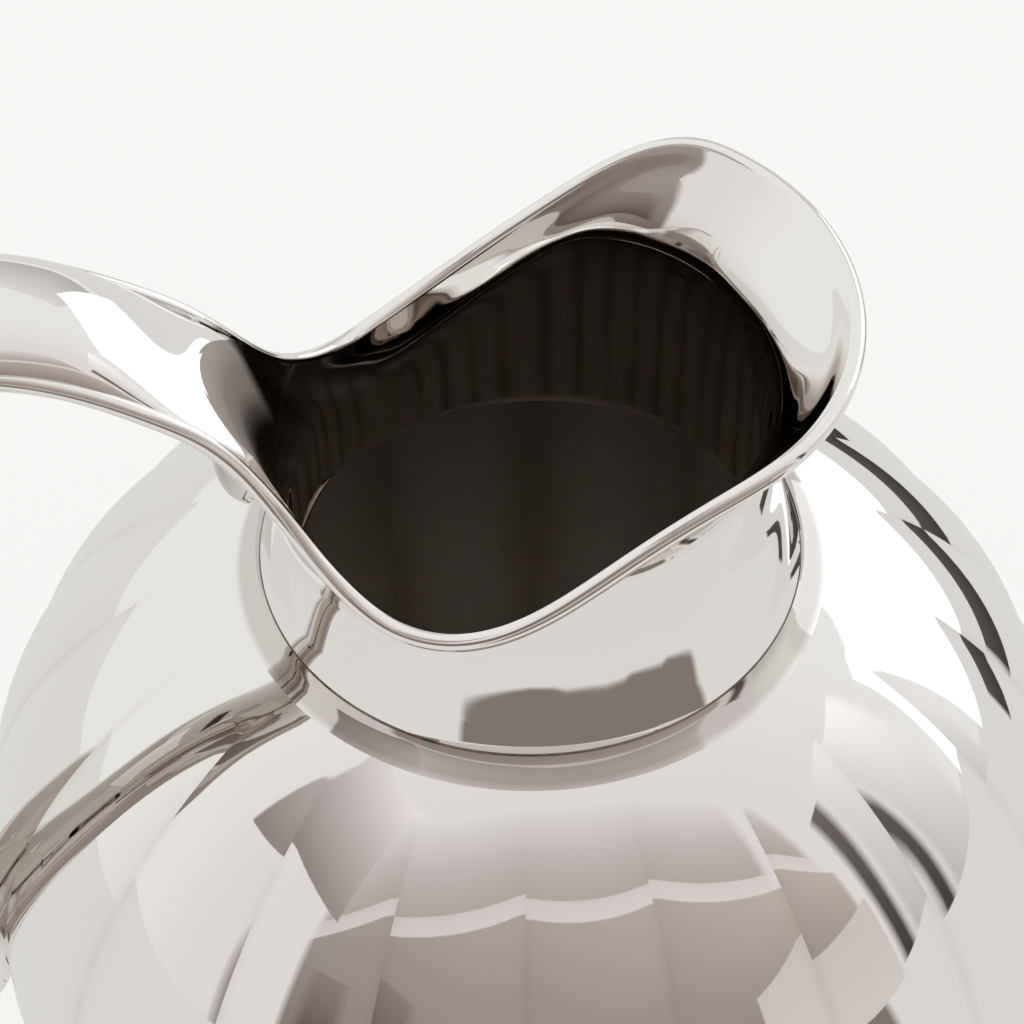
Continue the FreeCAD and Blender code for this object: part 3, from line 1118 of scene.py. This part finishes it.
def makeCamera():
    camera = bpy.data.cameras.new("camera")
    camera.lens = view["lens"]
    camera.sensor_width = view["sensor"]
    camera.clip_start = 0.01
    item = bpy.data.objects.new("camera", camera)
    scene.collection.objects.link(item)
    turn, lift = math.radians(-view["azimuth"]), math.radians(view["elevation"])
    level = math.cos(lift)
    back = Vector((-level * math.sin(turn), -level * math.cos(turn), math.sin(lift)))
    right = Vector((math.cos(turn), -math.sin(turn), 0))
    right = Matrix.Rotation(math.radians(view["roll"]), 3, back) @ right
    up = back.cross(right)
    focal = view["lens"] / view["sensor"] * view["frame"]
    u, v = (pixel - view["frame"] / 2 for pixel in view["seamPixel"])
    ray = right * (u / focal) - up * (v / focal) - back
    item.matrix_world = Matrix((right, up, back)).transposed().to_4x4()
    item.location = Vector((0, 0, seamHeight)) - ray * view["distance"]
    scene.camera = item


makeCamera()

stage = {
    "floor": (0.905, 0.896, 0.880, 1.0),
    "floorGlow": 0.7,
    "floorLight": (0.82, 1.14),
    "floorHalf": 4.0,
    "floorLevel": -0.2 * mm,
    "skyFront": (0.77, 0.735, 0.73, 1.0),
    "skyBack": (0.85, 0.84, 0.825, 1.0),
    "skyBlend": 0.35,
}


def lightPathAny(tree):
    path = addNode(tree, "ShaderNodeLightPath")
    seen = mathNode(tree, "MAXIMUM", path.outputs["Is Camera Ray"], path.outputs["Is Glossy Ray"])
    return mathNode(tree, "MAXIMUM", seen, path.outputs["Is Transmission Ray"])


def makeFloor():
    material, tree, output = blankMaterial("pale floor")
    matt = addNode(tree, "ShaderNodeBsdfDiffuse", {"Color": stage["floor"]})
    # brighter as the backdrop than as a reflection
    seen = addNode(tree, "ShaderNodeLightPath").outputs["Is Camera Ray"]
    values = {"Color": stage["floor"], "Strength": mapRange(tree, seen, *stage["floorLight"])}
    glow = addNode(tree, "ShaderNodeEmission", values)
    share = mathNode(tree, "MULTIPLY", lightPathAny(tree), stage["floorGlow"])
    fill(tree, output, {0: mixShaders(tree, share, matt, glow)})
    half, level = stage["floorHalf"], stage["floorLevel"]
    corners = [(-half, -half), (half, -half), (half, half), (-half, half)]
    points = [(x, y, level) for x, y in corners]
    makePiece("floor", points, [(0, 1, 2, 3)], [material])


def makeSky():
    world = bpy.data.worlds.new("soft studio")
    scene.world = world
    world.use_nodes = True
    tree = world.node_tree
    back = splitVector(tree, coordinates(tree, "Generated"))["Y"]
    half = stage["skyBlend"]
    behind = mapRange(tree, back, 0.0, 1.0, -half, half, interpolation_type="SMOOTHSTEP")
    colour = mixColour(tree, behind, stage["skyFront"], stage["skyBack"])
    fill(tree, tree.nodes["Background"], {"Color": colour, "Strength": 1.0})


# upright cards round the object: name, way it lies, distance, span to the right, span up,
# light below and above, light at the left and right end, width of the soft ends
cards = [
    ("front_board", 0, 1.2, (-2.1, 2.45), (-0.13, 1.2),
     (0.26, 0.21, 0.185), (0.46, 0.395, 0.36), (0.75, 1.2), 0.22),
    ("front_strip", 0, 1.22, (-2.1, 2.2), (1.2, 1.44),
     (0.70, 0.65, 0.635), (0.66, 0.60, 0.59), (0.95, 1.05), 0.2),
    ("front_upper", 0, 1.24, (-2.1, 2.2), (1.44, 3.4),
     (0.46, 0.405, 0.39), (0.80, 0.765, 0.755), (0.95, 1.0), 0.25),
    ("left_board", -46, 1.3, (-0.2, 0.22), (0.12, 0.53),
     (0.12, 0.09, 0.077), (0.27, 0.22, 0.195), (1.0, 1.0), 0.1),
    ("left_upper", -72, 1.1, (-0.25, 0.40), (0.76, 2.1),
     (0.27, 0.23, 0.215), (0.72, 0.68, 0.67), (1.0, 1.2), 0.02),
    ("front_low", 0, 1.18, (-1.0, 0.85), (-0.13, 0.12),
     (0.54, 0.50, 0.48), (0.50, 0.455, 0.435), (1.0, 1.0), 0.02),
    ("right_low", 52, 1.0, (-0.27, 0.24), (-0.13, 0.25),
     (0.66, 0.61, 0.59), (0.62, 0.56, 0.54), (1.0, 1.0), 0.01),
    ("right_window", 125, 1.3, (-0.52, 0.52), (-0.1, 0.72),
     (1.2, 1.2, 1.2), (1.1, 1.1, 1.1), (1.0, 1.0), 0.01),
    ("right_sill", 130, 0.36, (-0.13, 0.13), (-0.13, -0.082),
     (0.05, 0.045, 0.045), (0.09, 0.085, 0.08), (1.0, 1.0), 0.01),
    ("right_curtain", 86, 1.2, (-0.24, 0.28), (-0.1, 0.85),
     (0.62, 0.60, 0.585), (0.95, 0.93, 0.92), (0.8, 1.15), 0.08),
    ("right_flag", 71, 1.15, (-0.09, 0.09), (-0.1, 0.75),
     (0.06, 0.05, 0.047), (0.16, 0.14, 0.13), (1.0, 1.0), 0.06),
    ("back_card", 165, 1.6, (-0.9, 0.7), (0.1, 1.3),
     (0.5, 0.47, 0.45), (0.76, 0.73, 0.72), (1.0, 1.0), 0.05),
]


# one material for all of them: they glow with their own light,
# and let light through where they don't cover
def makeGlow():
    material, tree, output = blankMaterial("glowing card")
    light = addNode(tree, "ShaderNodeAttribute", attribute_name="light").outputs["Color"]
    glow = addNode(tree, "ShaderNodeEmission", {"Color": light})
    clear = addNode(tree, "ShaderNodeBsdfTransparent")
    cover = attributeValue(tree, "cover")
    fill(tree, output, {0: mixShaders(tree, cover, clear, glow)})
    return material


cardGlow = makeGlow()


# seen in reflections only
def placeCard(name, points, light, cover):
    rows, columns = points.shape[:2]
    item = makePiece(name, points, gridFaces(rows, columns, False, False), [cardGlow])
    attribute = item.data.attributes.new("light", "FLOAT_VECTOR", "POINT")
    attribute.data.foreach_set("vector", np.asarray(light, np.float32).ravel())
    addAttribute(item, "cover", np.broadcast_to(cover, (rows, columns)))
    item.visible_camera = False
    item.visible_diffuse = False
    item.visible_shadow = False


def makeCard(name, azimuth, distance, across, upward, low, high, ends, soft):
    turn = math.radians(azimuth)
    right = np.array([across[0], across[0] + soft, across[1] - soft, across[1]])
    x = distance * math.sin(turn) + right * math.cos(turn)
    y = -distance * math.cos(turn) + right * math.sin(turn)
    rows = [np.stack([x, y, seamHeight + level + 0 * x], axis=1) for level in upward]
    shade = np.interp(right, across, ends)[:, None]
    light = np.stack([shade * low, shade * high])
    placeCard(name, np.array(rows), light, (0.0, 1.0, 1.0, 0.0))


# darker ground some way in front: bearings in degrees and where it starts
apron = {
    "bearing": (-34, -20, -8, 0, 5, 20, 27, 30, 42, 45, 57),
    "start": (0.314, 0.310, 0.305, 0.307, 0.312, 0.307, 0.30, 0.292, 0.284, 0.276, 0.27),
    "soft": 0.008,
    "softEnds": 2.5,
    "reach": 1.15,
    "level": 0.5 * mm,
    "light": (0.225, 0.187, 0.165),
    "columns": 183,
}


def makeApron():
    bearing = np.linspace(apron["bearing"][0], apron["bearing"][-1], apron["columns"])
    start = np.interp(bearing, apron["bearing"], apron["start"])
    reach = np.array([start, start + apron["soft"], np.full_like(start, apron["reach"])])
    turn = np.radians(bearing)
    level = np.full_like(reach, apron["level"])
    points = np.stack([reach * np.sin(turn), -reach * np.cos(turn), level], axis=-1)
    light = np.broadcast_to(apron["light"], points.shape)
    fromEnd = np.minimum(bearing - bearing[0], bearing[-1] - bearing)
    cover = np.array([[0.0], [1.0], [1.0]]) * np.clip(fromEnd / apron["softEnds"], 0.0, 1.0)
    placeCard("apron", points, light, cover)


makeFloor()
makeApron()
makeSky()
for card in cards:
    makeCard(*card)
print("stage done")
